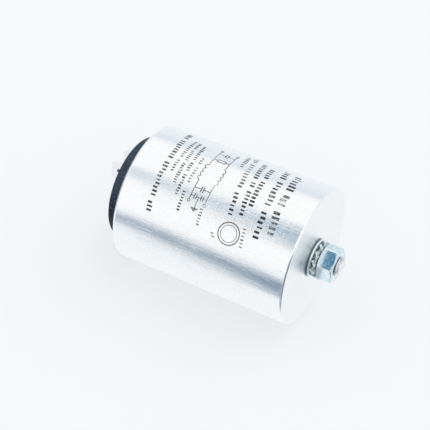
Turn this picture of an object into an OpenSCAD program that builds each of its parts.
// Round-can EMI line filter with a base stud and push-on blades, lying on its side.
// The origin is the centre of the can's base face. +X runs out along the stud and +Z is up.

/* [Can] */
// Outside diameter of the can
can_d = 43; // [42:0.5:60]
// Length from the base face to the rolled rim
can_len = 57.1; // [52:0.1:80]
// Thickness of the can's side wall
can_wall = 0.8; // [0.6:0.05:1.2]
// Thickness of the can's base
base_t = 1.5; // [1:0.1:3]
// Outside radius between the side and the base
base_fillet = 0.7; // [0.5:0.1:3]
// Outside radius of the rolled rim
rim_r = 1; // [0.8:0.1:2]
// Width of the rim's flat lip, inwards from its bend
rim_lip = 2; // [0.8:0.1:2.4]

/* [Stud, washers and nut] */
// Thread diameter of the stud
stud_d = 6; // [5:0.5:6.5]
// Diameter of the stud's head inside the can
stud_head_d = 12; // [10:0.5:16]
// Height of the stud's head
stud_head_h = 2.6; // [1.5:0.1:3]
// Length of the stud past the nut
stud_free = 1.2; // [0.8:0.1:12]
// Bevel on the stud's end
stud_bevel = 0.35; // [0.2:0.05:0.6]
// Depth of the thread, from its crest to its root
thread_depth = 0.5; // [0.3:0.05:0.6]
// Diameter of the flat washer
flat_washer_d = 12; // [11:0.5:18]
// Thickness of the flat washer
flat_washer_t = 1; // [0.8:0.1:2.5]
// Diameter over the teeth of the lock washer
tooth_washer_d = 11; // [10.4:0.1:12]
// Thickness of the lock washer's sheet
tooth_washer_t = 0.7; // [0.5:0.05:1]
// Number of teeth
tooth_count = 12; // [8:1:14]
// Width of one tooth
tooth_w = 1.9; // [1.2:0.1:2]
// Twist of each tooth out of the washer's plane
tooth_twist = 35; // [15:1:45]
// Length of a tooth, outside the washer's plain ring
tooth_len = 1.1; // [0.7:0.1:1.3]
// Width across the nut's flats
nut_af = 10; // [9:0.5:14]
// Height of the nut
nut_h = 5; // [3:0.1:8]
// Turn of the nut's corners about the stud
nut_turn = 57; // [0:1:60]

/* [Terminal cap] */
// Gap between the rim's edge and the cap's raised middle
cap_gap = 2.3; // [1.2:0.1:2.8]
// Height of the cap's face above the rim
cap_proud = 4.9; // [3:0.1:10]
// Thickness of the cap's face
cap_face_t = 2.4; // [1.5:0.1:3.5]
// Thickness of the cap's raised wall
cap_wall = 2; // [1.5:0.1:2.5]
// Thickness of the cap's flange under the rim
flange_t = 3.2; // [2.8:0.1:5]
// Depth of the flange's underside recess over the board
flange_recess = 1.6; // [1.4:0.1:1.8]
// Thickness of the rubber seal under the rim
seal_t = 1.5; // [1:0.1:3]
// Radius on the cap's outer edge
cap_round = 0.7; // [0.2:0.1:1.2]
// Height of the barrier ribs on the cap's face
barrier_h = 1.2; // [0.6:0.1:1.6]
// Thickness of the barrier ribs
barrier_t = 1.2; // [0.8:0.1:1.6]
// Length of the barrier between the two rows of blades
barrier_len = 23; // [18:0.5:26]
// Diameter of the index pip on the cap's face
pip_d = 0.9; // [0.6:0.1:2]
// Height of the index pip
pip_h = 0.6; // [0.4:0.1:1.2]
// Distance of the index pip's middle from the cap's edge
pip_in = 0.9; // [0.6:0.1:2]
// Turn of the index pip from the row of upright blades
pip_turn = -40; // [-180:1:180]

/* [Blades] */
// Width of a blade
blade_w = 6.3; // [4.8:0.1:6.4]
// Thickness of a blade
blade_t = 0.8; // [0.5:0.05:1]
// Length of a blade outside the cap
blade_len = 7.1; // [6:0.1:12]
// Bevel on the corners of a blade's tip
blade_bevel = 0.8; // [0.3:0.1:1.4]
// Diameter of the hole in a blade
blade_hole_d = 1.8; // [1:0.1:2.2]
// Distance from a blade's tip to its hole
blade_hole_in = 3.9; // [2.5:0.1:4.5]
// Overhang of the shoulder under the cap's face, on each side
shoulder_out = 0.5; // [0.3:0.05:0.7]
// Height of the shoulder under the cap's face
shoulder_h = 2; // [1:0.1:3]
// Width of a blade's leg between the shoulder and the board
leg_w = 5; // [3.5:0.1:5.5]
// Width of a blade's solder pin
pin_w = 2.4; // [1.2:0.1:3]
// Length of a blade's solder pin under the board
pin_len = 1.4; // [0.6:0.1:1.6]
// Distance between the two rows of blades
row_pitch = 10.6; // [10.4:0.1:11.5]
// Distance between the two upright blades
in_pitch = 7.1; // [5:0.1:8]
// Distance between the two level blades
out_pitch = 9.6; // [8.6:0.1:11]
// Distance of the blades' middle from the can's axis
row_shift = 1.1; // [0:0.1:1.4]
// Turn of the cap, and of all that is inside, about the can's axis
cap_turn = 8; // [-180:1:180]

/* [Sleeve and board] */
// Thickness of the insulating sleeve's wall
sleeve_wall = 1; // [0.6:0.1:1.2]
// Thickness of the sleeve's floor
floor_t = 1; // [0.6:0.1:2]
// Space between the stud's head and the sleeve's floor
head_room = 0.7; // [0.4:0.1:2]
// Thickness of the circuit board
board_t = 1.6; // [1:0.1:2]

/* [Choke] */
// Diameter of the ferrite ring
core_d = 26; // [24:0.5:26.5]
// Diameter of the ring's hole
core_bore = 14; // [13:0.5:15]
// Height of the ring
core_h = 11; // [6:0.5:12]
// Radius on the ring's edges
core_round = 1; // [0.5:0.1:1.5]
// Diameter of the winding wire
wire_d = 1.2; // [0.8:0.05:1.3]
// Number of turns in each winding
turns = 11; // [5:1:11]
// Share of the ring that one winding covers, in degrees
winding_span = 140; // [130:1:144]
// Thickness of the divider between the windings
divider_t = 1.2; // [0.8:0.1:2]
// Height of the divider above the ring
divider_up = 2; // [0.5:0.1:3]

/* [Capacitors, resistor and leads] */
// Length of the film capacitor
x_cap_l = 24; // [20:0.5:24.5]
// Height of the film capacitor
x_cap_h = 15.5; // [10:0.5:17]
// Thickness of the film capacitor
x_cap_t = 8; // [6:0.1:8.4]
// Distance between the film capacitor's leads
x_lead_pitch = 20; // [15:0.5:21]
// Diameter of a disc capacitor
y_cap_d = 9.5; // [7:0.1:10]
// Thickness of a disc capacitor
y_cap_t = 4; // [3:0.1:4.5]
// Distance between the two disc capacitors
y_cap_pitch = 15.2; // [14:0.1:15.6]
// Distance between a disc capacitor's leads
y_lead_pitch = 5; // [4:0.1:6]
// Length of a disc capacitor's leads under the board
y_lead_l = 2.5; // [1.6:0.1:5]
// Diameter of the resistor's body
resistor_d = 3.2; // [2:0.1:3.4]
// Length of the resistor's body
resistor_l = 9; // [6:0.5:11]
// Distance between the resistor's bent leads
resistor_pitch = 15; // [13.5:0.5:16]
// Distance of the resistor from the can's axis
resistor_off = 8.9; // [8.7:0.1:9.4]
// Diameter of the component leads
lead_d = 0.8; // [0.5:0.05:0.9]
// Length of the leads above the board
lead_up = 1.1; // [0.8:0.05:1.2]
// Radius of a solder joint at the board
solder_r = 1.2; // [0.9:0.05:1.3]
// Height of a solder joint
solder_h = 0.8; // [0.5:0.05:1]

/* [Earth lead] */
// Thickness of the earth lug's sheet
lug_t = 0.8; // [0.5:0.05:1]
// Width of the earth lug's tongue
lug_tongue_w = 4; // [3:0.1:6]
// Length of the earth lug's tongue past its ring
lug_tongue_l = 4.5; // [3:0.1:5]
// Diameter of the sleeved earth wire
earth_d = 1.6; // [1.2:0.1:1.7]
// Bend radius of the earth wire
earth_bend = 1.8; // [1.2:0.1:2]

/* [Clearances] */
// Radial play of the stud in the can's base and in its head's lug
stud_play = 0.05; // [0.02:0.01:0.2]
// Radial play of the washers on the stud
washer_play = 0.2; // [0.1:0.05:0.5]
// Gap left between faces that are clamped together
seat_gap = 0.02; // [0:0.01:0.05]
// Radial play of the sleeve in the can
sleeve_play = 0.2; // [0.1:0.05:0.4]
// Radial play of the cap's flange, the board and the seal in the can
disc_play = 0.3; // [0.2:0.05:0.6]
// Play of a blade in its slot, on each side
slot_play = 0.05; // [0.03:0.01:0.15]
// Play of a lead in its hole, on each side
hole_play = 0.1; // [0.05:0.01:0.15]
// Gap between the winding and the ring, and between the choke and the sleeve's floor
wire_gap = 0.1; // [0.05:0.01:0.2]
// Gap between the earth wire and the choke
earth_gap = 0.4; // [0.2:0.1:0.8]
// Gap between the earth wire's end and the stud's head
earth_end_gap = 1; // [0.3:0.1:2]
// Radial play of the rubber seal round the cap's raised middle
seal_play = 0.2; // [0.1:0.05:0.4]
// Distance of the film capacitor's corners from the sleeve
x_cap_gap = 0.6; // [0.4:0.1:1]
// Gap between the blades' solder pins and the bodies that hang under them
under_pin_gap = 0.4; // [0.2:0.1:0.8]
// Gap between the outermost solder joint and the cap's flange
joint_gap = 0.8; // [0.3:0.1:1.2]

/* [Hidden] */
$fn = 96;

// Radii of the can, from outside to inside
can_r = can_d / 2;
can_in_r = can_r - can_wall;
lip_r = can_r - rim_r - rim_lip;
sleeve_r = can_in_r - sleeve_play;
sleeve_in_r = sleeve_r - sleeve_wall;
disc_r = can_in_r - disc_play;
// Inside radius of the corner between the can's wall and its base
base_inside_round = 1;
// Inside radius of the rim's bend
in_rim_r = max(rim_r - can_wall, 0.1);

// Depths are measured from the base face towards the rim. Outside the base they are negative.
lug_z = base_t;
head_z = lug_z + lug_t + seat_gap;
floor_z = head_z + stud_head_h + head_room;
floor_top_z = floor_z + floor_t;
lip_z = can_len - can_wall;
flange_top_z = lip_z - seal_t - 2 * seat_gap;
board_top_z = flange_top_z - flange_t;
board_z = board_top_z - board_t;
cap_face_z = can_len + cap_proud;
cap_roof_z = cap_face_z - cap_face_t;
recess_z = board_top_z + flange_recess;

// Stack on the stud, outside the base
tooth_h = tooth_washer_t * cos(tooth_twist) + tooth_w * sin(tooth_twist);
tooth_mid_z = -(flat_washer_t + 2 * seat_gap + tooth_h / 2);
nut_z = -(flat_washer_t + tooth_h + 3 * seat_gap);
nut_out_z = nut_z - nut_h;
stud_end_z = nut_out_z - stud_free;
stud_r = stud_d / 2;
stud_root_r = stud_r - thread_depth;
washer_bore_r = stud_r + washer_play;

// Cap
cap_r = lip_r - cap_gap;
cap_in_r = cap_r - cap_wall;

// Blades: across is the direction along the two rows, up is the direction from row to row
row_up = row_pitch / 2;
shoulder_w = blade_w + 2 * shoulder_out;
shoulder_z = cap_roof_z - shoulder_h;

// Choke
wire_r = wire_d / 2;
core_z = floor_top_z + wire_d + 2 * wire_gap;
core_top_z = core_z + core_h;
ring_mid_r = (core_d + core_bore) / 4;
loop_half_w = (core_d - core_bore) / 4 + wire_gap + wire_r;
loop_half_h = core_h / 2 + wire_gap + wire_r;
loop_round = core_round + wire_gap + wire_r;
corner_steps = 4;
loop_steps = 4 * corner_steps;
wire_sides = 8;
choke_r = core_d / 2 + wire_gap + wire_d;
winding_lead_r = ring_mid_r + loop_half_w;
winding_lead_a = winding_span / 2;

// Parts under the board
lead_r = lead_d / 2;
lead_top_z = board_top_z + lead_up;
x_cap_up = -(sqrt(pow(sleeve_in_r, 2) - pow(x_cap_l / 2, 2)) - x_cap_t / 2 - x_cap_gap);
x_cap_top_z = board_z - pin_len - under_pin_gap;
y_cap_up = 0.3;
y_cap_z = board_z - y_lead_l - y_cap_d / 2;
resistor_z = board_z - pin_len - under_pin_gap - resistor_d / 2;
earth_r = earth_d / 2;
earth_up = choke_r + earth_gap + earth_r;
earth_low_z = lug_z + lug_t + seat_gap + earth_r;
earth_start = stud_head_d / 2 + earth_end_gap;

// Places of the leads on the board, as [up, across]
winding_leads = [
    for (side = [1, -1], end = [1, -1])
        [side * winding_lead_r * cos(winding_lead_a), end * winding_lead_r * sin(winding_lead_a)]
];
x_leads = [for (end = [1, -1]) [x_cap_up, end * x_lead_pitch / 2]];
y_leads = [
    for (side = [1, -1], end = [1, -1])
        [y_cap_up, side * y_cap_pitch / 2 + end * y_lead_pitch / 2]
];
resistor_leads_at = [for (end = [1, -1]) [resistor_off, end * resistor_pitch / 2]];
earth_at = [[earth_up, 0]];
thin_leads = concat(x_leads, y_leads, resistor_leads_at, earth_at);
// The cap's recess clears the joint that lies furthest out
joints_r = max([for (p = concat(thin_leads, winding_leads)) norm(p)]);
recess_r = joints_r + solder_r + joint_gap;

// Points of an arc about [cx, cy], from angle a0 to a1
function arc(cx, cy, r, a0, a1, n = 8) = [
    for (i = [0:n])
        let (a = a0 + (a1 - a0) * i / n)
            [cx + r * cos(a), cy + r * sin(a)]
];

// Lays the can's axis, modelled upright, along -X, and turns local X up to +Z
module lie() {
    rotate([0, -90, 0]) children();
}

// The same, turned with the cap about the can's axis
module lie_turned() {
    lie() rotate([0, 0, cap_turn]) children();
}

// Drawn can: fillet at the base, straight side, rim rolled inwards over the cap's seal
module can() {
    profile = concat(
        [[stud_r + stud_play, 0]],
        arc(can_r - base_fillet, base_fillet, base_fillet, -90, 0),
        arc(can_r - rim_r, can_len - rim_r, rim_r, 0, 90),
        [[lip_r, can_len], [lip_r, lip_z]],
        arc(can_in_r - in_rim_r, lip_z - in_rim_r, in_rim_r, 90, 0),
        arc(can_in_r - base_inside_round, base_t + base_inside_round, base_inside_round, 0, -90),
        [[stud_r + stud_play, base_t]]
    );
    color("gainsboro") lie() rotate_extrude() polygon(profile);
}

// Steel stud: flat head inside the can. Inside the nut it is drawn to the thread's root,
// because the nut's own thread fills the grooves there.
module stud() {
    profile = [
        [0, stud_end_z],
        [stud_r - stud_bevel, stud_end_z],
        [stud_r, stud_end_z + stud_bevel],
        [stud_r, nut_out_z - seat_gap],
        [stud_root_r - stud_play, nut_out_z - seat_gap],
        [stud_root_r - stud_play, nut_z + seat_gap],
        [stud_r, nut_z + seat_gap],
        [stud_r, head_z],
        [stud_head_d / 2, head_z],
        [stud_head_d / 2, head_z + stud_head_h],
        [0, head_z + stud_head_h]
    ];
    color("silver") lie() rotate_extrude() polygon(profile);
}

module flat_washer() {
    edge = 0.2;
    out_r = flat_washer_d / 2;
    out_z = -seat_gap - flat_washer_t;
    profile = [
        [washer_bore_r, -seat_gap],
        [out_r - edge, -seat_gap],
        [out_r, -seat_gap - edge],
        [out_r, out_z + edge],
        [out_r - edge, out_z],
        [washer_bore_r, out_z]
    ];
    color("lightsteelblue") lie() rotate_extrude() polygon(profile);
}

// Lock washer: a plain ring with teeth that are twisted out of its plane
module tooth_washer() {
    ring_r = tooth_washer_d / 2 - tooth_len;
    root = 0.4;
    color("slategray") lie() translate([0, 0, tooth_mid_z]) {
        difference() {
            union() {
                cylinder(h = tooth_washer_t, r = ring_r, center = true);
                for (i = [0:tooth_count - 1])
                    rotate([0, 0, i * 360 / tooth_count])
                        translate([ring_r + (tooth_len - root) / 2, 0, 0])
                            rotate([tooth_twist, 0, 0])
                                cube([tooth_len + root, tooth_w, tooth_washer_t], center = true);
            }
            cylinder(h = tooth_h + 1, r = washer_bore_r, center = true);
        }
    }
}

// Hexagon nut: corners cut back by a cone at both faces, thread drawn to its core
module hex_nut() {
    corner_r = nut_af / 2 / cos(30);
    face_r = nut_af / 2 - 0.15;
    cone_r = corner_r + 1;
    drop = (cone_r - face_r) * tan(30);
    sink = thread_depth + 0.1;
    profile = [
        [stud_root_r + sink, 0], [face_r, 0], [cone_r, drop],
        [cone_r, nut_h - drop], [face_r, nut_h], [stud_root_r + sink, nut_h],
        [stud_root_r, nut_h - sink], [stud_root_r, sink]
    ];
    color("lightsteelblue") lie() translate([0, 0, nut_out_z]) intersection() {
        rotate([0, 0, nut_turn]) translate([0, 0, -1]) cylinder(h = nut_h + 2, r = corner_r, $fn = 6);
        rotate_extrude() polygon(profile);
    }
}

// Places its children at an upright blade, or at a level one. side is -1 or 1.
module at_upright(side) {
    translate([row_up, row_shift + side * in_pitch / 2, 0]) children();
}

module at_level(side) {
    translate([-row_up, row_shift + side * out_pitch / 2, 0]) rotate([0, 0, 90]) children();
}

module each_blade() {
    for (side = [1, -1]) {
        at_upright(side) children();
        at_level(side) children();
    }
}

// A rib on the cap's face, sunk a little into it so that the two are one moulding
module rib(up, across) {
    sunk = 0.1;
    translate([-up / 2, -across / 2, cap_face_z - sunk]) cube([up, across, barrier_h + sunk]);
}

// Moulded cap: flange under the rim, raised hollow middle, slots for the blades, barrier ribs
module terminal_cap() {
    outside = concat(
        [[0, board_top_z + seat_gap], [disc_r, board_top_z + seat_gap]],
        [[disc_r, flange_top_z], [cap_r, flange_top_z]],
        arc(cap_r - cap_round, cap_face_z - cap_round, cap_round, 0, 90),
        [[0, cap_face_z]]
    );
    pip_z = cap_face_z - cap_round;
    color([0.07, 0.07, 0.08]) lie_turned() {
        difference() {
            rotate_extrude() polygon(outside);
            translate([0, 0, board_z]) cylinder(h = cap_roof_z - board_z, r = cap_in_r);
            translate([0, 0, board_z]) cylinder(h = recess_z - board_z, r = recess_r);
            each_blade() translate([0, 0, cap_face_z])
                cube([blade_w + 2 * slot_play, blade_t + 2 * slot_play, 4 * cap_face_t], center = true);
        }
        translate([0, row_shift, 0]) rib(barrier_t, barrier_len);
        translate([0, row_shift, 0]) rib(2 * row_pitch - barrier_t, barrier_t);
        rotate([0, 0, pip_turn]) translate([cap_r - pip_in, 0, pip_z])
            cylinder(h = pip_h + cap_round, d = pip_d, $fn = 24);
    }
}

// Rubber ring between the rolled lip and the cap's flange, bevelled to clear the rim's bend
module seal_ring() {
    low_z = flange_top_z + seat_gap;
    in_r = cap_r + seal_play;
    profile = [
        [in_r, low_z], [disc_r, low_z], [disc_r, lip_z - seat_gap - in_rim_r],
        [disc_r - in_rim_r, lip_z - seat_gap], [in_r, lip_z - seat_gap]
    ];
    color([0.16, 0.16, 0.17]) lie() rotate_extrude() polygon(profile);
}

// One terminal, cut from sheet: bevelled tip with a hole, shoulder, leg and solder pin.
// Its width runs along local X and its place is set by the caller.
module blade() {
    tip_z = cap_face_z + blade_len;
    bevel_z = tip_z - 1.25 * blade_bevel;
    stand_z = board_top_z + seat_gap;
    half = blade_w / 2;
    right_side = [
        [pin_w / 2, board_z - pin_len], [pin_w / 2, stand_z],
        [leg_w / 2, stand_z], [leg_w / 2, shoulder_z],
        [shoulder_w / 2, shoulder_z], [shoulder_w / 2, cap_roof_z - seat_gap],
        [half, cap_roof_z - seat_gap], [half, bevel_z], [half - blade_bevel, tip_z]
    ];
    left_side = [for (i = [len(right_side) - 1:-1:0]) [-right_side[i][0], right_side[i][1]]];
    color([0.78, 0.78, 0.74]) rotate([90, 0, 0]) difference() {
        linear_extrude(height = blade_t, center = true) polygon(concat(right_side, left_side));
        translate([0, tip_z - blade_hole_in, 0])
            cylinder(h = 3 * blade_t, d = blade_hole_d, center = true, $fn = 32);
    }
}

module blade_in(side) {
    lie_turned() at_upright(side) blade();
}

module blade_out(side) {
    lie_turned() at_level(side) blade();
}

// Moulded liner: a tube with a floor that keeps the live parts off the can and the stud
module insulating_sleeve() {
    foot = base_inside_round + 0.2;
    low_z = base_t + seat_gap;
    profile = [
        [sleeve_in_r, low_z], [sleeve_r - foot, low_z], [sleeve_r, low_z + foot],
        [sleeve_r, board_z - seat_gap], [sleeve_in_r, board_z - seat_gap],
        [sleeve_in_r, floor_top_z], [0, floor_top_z], [0, floor_z], [sleeve_in_r - foot, floor_z],
        [sleeve_in_r - foot, low_z]
    ];
    color("ivory") lie_turned() difference() {
        rotate_extrude() polygon(profile);
        translate([earth_up, 0, 0]) cylinder(h = 2 * floor_top_z, r = earth_r + 2 * hole_play, $fn = 32);
    }
}

module circuit_board() {
    color("peru") lie_turned() difference() {
        translate([0, 0, board_z]) cylinder(h = board_t, r = disc_r);
        each_blade() translate([0, 0, board_z])
            cube([pin_w + 2 * hole_play, blade_t + 2 * hole_play, 3 * board_t], center = true);
        for (p = thin_leads)
            translate([p[0], p[1], board_z - 1]) cylinder(h = board_t + 2, r = lead_r + hole_play, $fn = 24);
        for (p = winding_leads)
            translate([p[0], p[1], board_z - 1]) cylinder(h = board_t + 2, r = wire_r + hole_play, $fn = 24);
    }
}

module toroid_core() {
    mid_z = core_z + core_h / 2;
    half_h = core_h / 2 - core_round;
    out_r = core_d / 2 - core_round;
    in_r = core_bore / 2 + core_round;
    section = concat(
        arc(out_r, mid_z - half_h, core_round, -90, 0, 4),
        arc(out_r, mid_z + half_h, core_round, 0, 90, 4),
        arc(in_r, mid_z + half_h, core_round, 90, 180, 4),
        arc(in_r, mid_z - half_h, core_round, 180, 270, 4)
    );
    color("dimgray") lie_turned() rotate_extrude() polygon(section);
}

// Wall through the ring's hole that keeps the two windings apart
module core_divider() {
    wide = 2 * (sqrt(pow(core_bore / 2, 2) - pow(divider_t / 2, 2)) - slot_play);
    low_z = floor_top_z + wire_gap;
    tall = core_top_z + divider_up - low_z;
    color("khaki") lie_turned() translate([0, 0, low_z + tall / 2])
        cube([divider_t, wide, tall], center = true);
}

// Section of one turn about the ring, as [outwards from the ring's mid circle, up].
// It starts at the foot of the outer side and goes under the ring, up its hole and over it.
function loop_point(i) =
    let (
        corner = floor(i / corner_steps),
        step = i - corner * corner_steps,
        a = -90 * corner - 90 * step / (corner_steps - 1),
        cx = (corner == 0 || corner == 3 ? 1 : -1) * (loop_half_w - loop_round),
        cy = (corner >= 2 ? 1 : -1) * (loop_half_h - loop_round)
    )
    [cx + loop_round * cos(a), cy + loop_round * sin(a)];

// A point of the winding from its section place and its angle on the ring
function on_ring(section, a) = [
    (ring_mid_r + section[0]) * cos(a),
    (ring_mid_r + section[0]) * sin(a),
    core_z + core_h / 2 + section[1]
];

// The whole wire as [point, angle]: lead down, turns, bend out over the ring, lead up
function winding_route() =
    let (
        last = turns * loop_steps - corner_steps,
        lead_rise = lead_top_z - core_z - core_h / 2,
        a0 = -winding_span / 2,
        step_a = winding_span / last,
        bend_up = loop_half_h + loop_round
    )
    concat(
        [[on_ring([loop_half_w, lead_rise], a0), a0]],
        [[on_ring([loop_half_w, loop_half_h], a0), a0]],
        [for (i = [0:last - 1]) [on_ring(loop_point(i % loop_steps), a0 + i * step_a), a0 + i * step_a]],
        [
            for (j = [0:corner_steps - 1])
                let (b = -90 + 90 * j / (corner_steps - 1))
                    [on_ring([loop_half_w - loop_round + loop_round * cos(b),
                              bend_up + loop_round * sin(b)], -a0), -a0]
        ],
        [[on_ring([loop_half_w, lead_rise], -a0), -a0]]
    );

function unit(v) = v / norm(v);

// A tube of the wire's diameter along the route. Each ring of points stands square to the
// route there, with one arm along the ring core's own circle.
module wire_tube(route) {
    n = len(route);
    ring = [
        for (i = [0:n - 1])
            let (
                before = route[max(i - 1, 0)][0],
                after = route[min(i + 1, n - 1)][0],
                along = unit(after - before),
                a = route[i][1],
                side = unit(cross(along, cross([-sin(a), cos(a), 0], along))),
                out = cross(along, side)
            )
            for (k = [0:wire_sides - 1])
                let (t = 360 * k / wire_sides)
                    route[i][0] + wire_r * (cos(t) * side + sin(t) * out)
    ];
    walls = [
        for (i = [0:n - 2], k = [0:wire_sides - 1])
            let (k2 = (k + 1) % wire_sides)
                [i * wire_sides + k, i * wire_sides + k2,
                 (i + 1) * wire_sides + k2, (i + 1) * wire_sides + k]
    ];
    start = [for (k = [wire_sides - 1:-1:0]) k];
    finish = [for (k = [0:wire_sides - 1]) (n - 1) * wire_sides + k];
    polyhedron(ring, concat([start, finish], walls), convexity = 12);
}

module winding(turn_to) {
    color("chocolate") lie_turned() rotate([0, 0, turn_to]) wire_tube(winding_route());
}

// Film capacitor across the lines: a cast box with softened upright edges
module x_capacitor() {
    edge = 0.8;
    a = x_cap_t / 2 - edge;
    b = x_cap_l / 2 - edge;
    outline = concat(
        arc(a, b, edge, 0, 90, 4), arc(-a, b, edge, 90, 180, 4),
        arc(-a, -b, edge, 180, 270, 4), arc(a, -b, edge, 270, 360, 4)
    );
    color("goldenrod") lie_turned() translate([x_cap_up, 0, x_cap_top_z - x_cap_h])
        linear_extrude(height = x_cap_h) polygon(outline);
}

module straight_leads(places, low_z) {
    for (p = places)
        translate([p[0], p[1], low_z]) cylinder(h = lead_top_z - low_z, r = lead_r, $fn = 24);
}

module x_capacitor_leads() {
    color("silver") lie_turned() straight_leads(x_leads, x_cap_top_z + seat_gap);
}

// Disc capacitor from one line to earth, with a rounded rim
module y_capacitor(side) {
    edge = 1;
    half = y_cap_t / 2;
    profile = concat(
        [[0, -half]],
        arc(y_cap_d / 2 - edge, -half + edge, edge, -90, 0, 4),
        arc(y_cap_d / 2 - edge, half - edge, edge, 0, 90, 4),
        [[0, half]]
    );
    color("steelblue") lie_turned() translate([y_cap_up, side * y_cap_pitch / 2, y_cap_z])
        rotate([0, 90, 0]) rotate_extrude() polygon(profile);
}

// The discs' leads start where each meets the disc's round edge
module y_capacitor_leads() {
    reach = y_cap_d / 2;
    foot = sqrt(pow(reach, 2) - pow(max(y_lead_pitch / 2 - lead_r, 0), 2));
    color("silver") lie_turned() straight_leads(y_leads, y_cap_z + foot + seat_gap);
}

module bleed_resistor() {
    cap_l = resistor_l / 4;
    waist_d = 0.86 * resistor_d;
    color("tan") lie_turned() translate([resistor_off, 0, resistor_z]) rotate([90, 0, 0]) {
        cylinder(h = resistor_l, d = waist_d, center = true);
        for (side = [1, -1])
            translate([0, 0, side * (resistor_l - cap_l) / 2])
                cylinder(h = cap_l, d = resistor_d, center = true);
    }
}

// Each lead runs out of the resistor, bends and goes up through the board
module resistor_leads() {
    reach = (resistor_pitch - resistor_l) / 2 - seat_gap;
    color("silver") lie_turned() {
        straight_leads(resistor_leads_at, resistor_z);
        for (side = [1, -1]) {
            translate([resistor_off, side * resistor_pitch / 2, resistor_z]) {
                sphere(r = lead_r, $fn = 24);
                rotate([side * 90, 0, 0]) cylinder(h = reach, r = lead_r, $fn = 24);
            }
        }
    }
}

// Ring under the stud's head, with a tongue that the earth wire is soldered to
module earth_lug() {
    low_z = lug_z + seat_gap / 2;
    ring_r = stud_head_d / 2;
    color("silver") lie_turned() translate([0, 0, low_z]) difference() {
        union() {
            cylinder(h = lug_t, r = ring_r);
            translate([0, -lug_tongue_w / 2, 0]) cube([ring_r + lug_tongue_l, lug_tongue_w, lug_t]);
        }
        translate([0, 0, -1]) cylinder(h = lug_t + 2, r = stud_r + stud_play);
    }
}

// Sleeved wire: along the tongue, round a bend, up past the choke, bare through the board
module earth_wire() {
    rise_z = earth_low_z + earth_bend;
    color("yellowgreen") lie_turned() {
        translate([earth_start, 0, earth_low_z])
            rotate([0, 90, 0]) cylinder(h = earth_up - earth_bend - earth_start, r = earth_r, $fn = 32);
        translate([earth_up - earth_bend, 0, rise_z]) rotate([90, 0, 0]) rotate([0, 0, -90])
            rotate_extrude(angle = 90, $fn = 48) translate([earth_bend, 0]) circle(r = earth_r, $fn = 32);
        translate([earth_up, 0, rise_z]) cylinder(h = board_z - seat_gap - rise_z, r = earth_r, $fn = 32);
        translate([earth_up, 0, board_z - 1]) cylinder(h = lead_top_z - board_z + 1, r = lead_r, $fn = 24);
    }
}

// Solder cones on the board, round every lead that comes through it
module solder_cone(r) {
    top_wall = 0.15;
    difference() {
        cylinder(h = solder_h, r1 = solder_r, r2 = r + top_wall, $fn = 32);
        translate([0, 0, -1]) cylinder(h = solder_h + 2, r = r + seat_gap, $fn = 24);
    }
}

module solder_joints() {
    color("gray") lie_turned() translate([0, 0, board_top_z + seat_gap]) {
        for (p = thin_leads)
            translate([p[0], p[1], 0]) solder_cone(lead_r);
        for (p = winding_leads)
            translate([p[0], p[1], 0]) solder_cone(wire_r);
    }
}

can();
stud();
flat_washer();
tooth_washer();
hex_nut();
terminal_cap();
seal_ring();
blade_in(-1);  // blade_line_in
blade_in(1);  // blade_neutral_in
blade_out(-1);  // blade_line_out
blade_out(1);  // blade_neutral_out
insulating_sleeve();
circuit_board();
toroid_core();
core_divider();
winding(0);  // winding_line
winding(180);  // winding_neutral
x_capacitor();
x_capacitor_leads();
y_capacitor(-1);  // y_capacitor_a
y_capacitor(1);  // y_capacitor_b
y_capacitor_leads();
bleed_resistor();
resistor_leads();
earth_lug();
earth_wire();
solder_joints();
